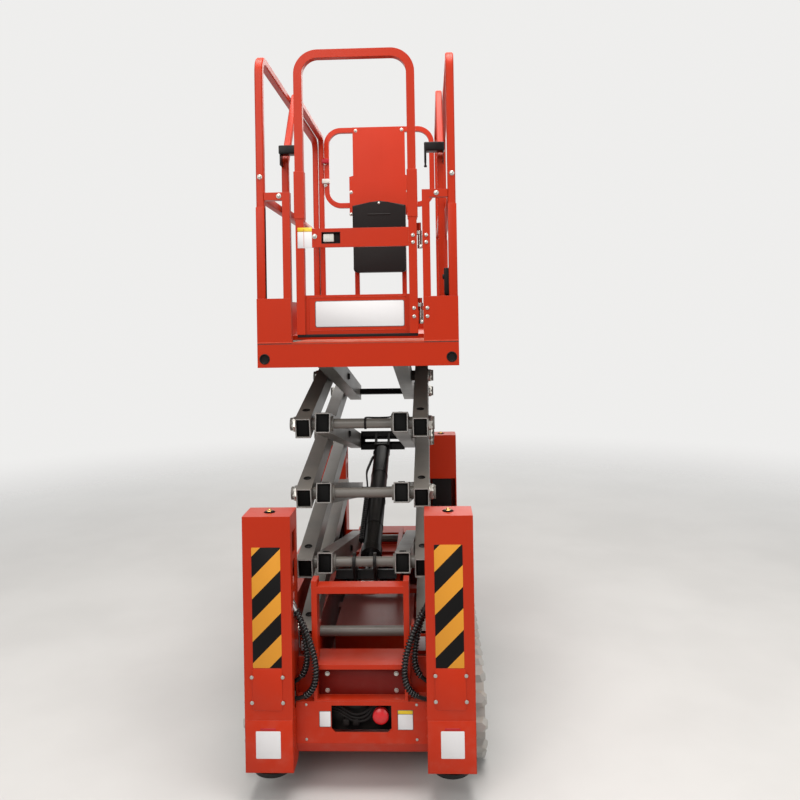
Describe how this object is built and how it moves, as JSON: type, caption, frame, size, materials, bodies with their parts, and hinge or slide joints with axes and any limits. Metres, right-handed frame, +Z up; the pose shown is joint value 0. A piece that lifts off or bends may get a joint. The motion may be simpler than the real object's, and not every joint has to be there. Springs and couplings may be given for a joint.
{
  "type": "scissor lift",
  "caption": "Narrow tracked scissor lift with folding corner legs, stacked arms, a lift cylinder and a railed platform with a gate and a sliding deck.",
  "frame": {"origin": "on the ground under the middle of the machine", "axes": "+X right as seen from the entry end, +Y from the entry end to the far end, +Z up"},
  "size_m": [0.806, 1.71, 2.4205],
  "materials": {
    "arm_grey": "satin",
    "black_paint": "satin",
    "black_plastic": "matte",
    "button_red": "gloss",
    "chrome_rod": "polished",
    "clear_sheet": "gloss",
    "hose_rubber": "matte",
    "red_paint": "satin",
    "track_rubber": "matte",
    "tread_plate": "satin",
    "zinc": "satin"
  },
  "bodies": {
    "chassis": {"chassis_frame": "red_paint", "rear_panel": "red_paint", "front_panel": "red_paint", "emergency_button": "button_red", "switch_bracket": "black_paint", "battery_block": "black_plastic", "power_unit": "black_paint", "step_frame": "red_paint", "step_screen": "clear_sheet", "base_pivot_bar": "arm_grey", "jacks": "black_paint", "hose_fittings": "zinc", "hose_outer_left": "hose_rubber", "hose_outer_right": "hose_rubber", "hose_inner_left": "hose_rubber", "hose_inner_right": "hose_rubber", "cabinet_left": "red_paint", "track_left": "track_rubber", "track_frame_left": "black_paint", "cabinet_right": "red_paint", "track_right": "track_rubber", "track_frame_right": "black_paint", "outrigger_near_left": "red_paint", "outrigger_near_right": "red_paint", "outrigger_far_left": "red_paint", "outrigger_far_right": "red_paint"},
    "leg_near_left": {"foot_near_left": "zinc"},
    "leg_near_right": {"foot_near_right": "zinc"},
    "leg_far_left": {"foot_far_left": "zinc"},
    "leg_far_right": {"foot_far_right": "zinc"},
    "outer_1": {"outer_arms_1": "arm_grey"},
    "inner_1": {"inner_arms_1": "arm_grey", "cross_bars_1": "black_paint"},
    "outer_2": {"outer_arms_2": "arm_grey"},
    "inner_2": {"inner_arms_2": "arm_grey", "cross_bars_2": "black_paint"},
    "outer_3": {"outer_arms_3": "arm_grey"},
    "inner_3": {"inner_arms_3": "arm_grey", "cross_bars_3": "black_paint"},
    "outer_4": {"outer_arms_4": "arm_grey"},
    "inner_4": {"inner_arms_4": "arm_grey", "cross_bars_4": "black_paint"},
    "barrel": {"lift_barrel": "black_paint"},
    "rod": {"lift_rod": "chrome_rod"},
    "platform": {"platform_frame": "red_paint", "platform_floor": "tread_plate", "toe_boards": "red_paint", "entry_frames": "red_paint", "gate_hinges": "zinc", "guard_rail_left": "red_paint", "guard_rail_right": "red_paint"},
    "gate": {"gate": "red_paint"},
    "extension": {"extension_deck": "red_paint", "extension_rails": "red_paint", "far_frame": "red_paint", "document_box": "black_plastic", "rail_handles": "black_plastic"}
  },
  "joints": [
    {"name": "lift", "type": "hinge", "parent": "chassis", "child": "outer_1", "pos_m": [0, -0.6, 0.432], "axis": [1, 0, 0], "range_deg": [-6.88, 37.92]},
    {"name": "cross_1", "type": "hinge", "parent": "outer_1", "child": "inner_1", "pos_m": [0, -0.04995, 0.5497], "axis": [1, 0, 0], "range_deg": [-75.86, 13.78]},
    {"name": "stage_2", "type": "hinge", "parent": "inner_1", "child": "outer_2", "pos_m": [0, -0.6, 0.6674], "axis": [1, 0, 0], "range_deg": [-13.78, 75.86]},
    {"name": "cross_2", "type": "hinge", "parent": "outer_2", "child": "inner_2", "pos_m": [0, -0.04995, 0.7851], "axis": [1, 0, 0], "range_deg": [-75.86, 13.78]},
    {"name": "stage_3", "type": "hinge", "parent": "inner_2", "child": "outer_3", "pos_m": [0, -0.6, 0.9028], "axis": [1, 0, 0], "range_deg": [-13.78, 75.86]},
    {"name": "cross_3", "type": "hinge", "parent": "outer_3", "child": "inner_3", "pos_m": [0, -0.04995, 1.0205], "axis": [1, 0, 0], "range_deg": [-75.86, 13.78]},
    {"name": "stage_4", "type": "hinge", "parent": "inner_3", "child": "outer_4", "pos_m": [0, -0.6, 1.1382], "axis": [1, 0, 0], "range_deg": [-13.78, 75.86]},
    {"name": "cross_4", "type": "hinge", "parent": "outer_4", "child": "inner_4", "pos_m": [0, -0.04995, 1.2559], "axis": [1, 0, 0], "range_deg": [-75.86, 13.78]},
    {"name": "platform_level", "type": "hinge", "parent": "inner_4", "child": "platform", "pos_m": [0, -0.6, 1.3736], "axis": [1, 0, 0], "range_deg": [-6.9, 37.94]},
    {"name": "barrel_tilt", "type": "hinge", "parent": "inner_3", "child": "barrel", "pos_m": [0, 0.43201, 0.87135], "axis": [1, 0, 0], "range_deg": [-14.3, 78.75]},
    {"name": "rod_slide", "type": "slide", "parent": "barrel", "child": "rod", "axis": [0, -0.9401, -0.3409], "range_m": [-0.0458, 0.2483]},
    {"name": "gate_swing", "type": "hinge", "parent": "platform", "child": "gate", "pos_m": [0.204, -0.704, 1.5], "axis": [0, 0, -1], "range_deg": [0, 90], "stiffness_Nm_per_rad": 4},
    {"name": "deck_slide", "type": "slide", "parent": "platform", "child": "extension", "axis": [0, 1, 0], "range_m": [0, 0.55]},
    {"name": "jack_near_left", "type": "slide", "parent": "chassis", "child": "leg_near_left", "axis": [0, 0, -1], "range_m": [0, 0.3]},
    {"name": "jack_near_right", "type": "slide", "parent": "chassis", "child": "leg_near_right", "axis": [0, 0, -1], "range_m": [0, 0.3]},
    {"name": "jack_far_left", "type": "slide", "parent": "chassis", "child": "leg_far_left", "axis": [0, 0, -1], "range_m": [0, 0.3]},
    {"name": "jack_far_right", "type": "slide", "parent": "chassis", "child": "leg_far_right", "axis": [0, 0, -1], "range_m": [0, 0.3]}
  ],
  "couplings": [
    {"joint": "cross_1", "follows": "lift", "ratio": -2},
    {"joint": "stage_2", "follows": "lift", "ratio": 2},
    {"joint": "cross_2", "follows": "lift", "ratio": -2},
    {"joint": "stage_3", "follows": "lift", "ratio": 2},
    {"joint": "cross_3", "follows": "lift", "ratio": -2},
    {"joint": "stage_4", "follows": "lift", "ratio": 2},
    {"joint": "cross_4", "follows": "lift", "ratio": -2},
    {"joint": "platform_level", "follows": "lift", "ratio": 1},
    {"joint": "barrel_tilt", "follows": "lift", "ratio": 2.076},
    {"joint": "rod_slide", "follows": "lift", "m_per_rad": 0.3736}
  ]
}
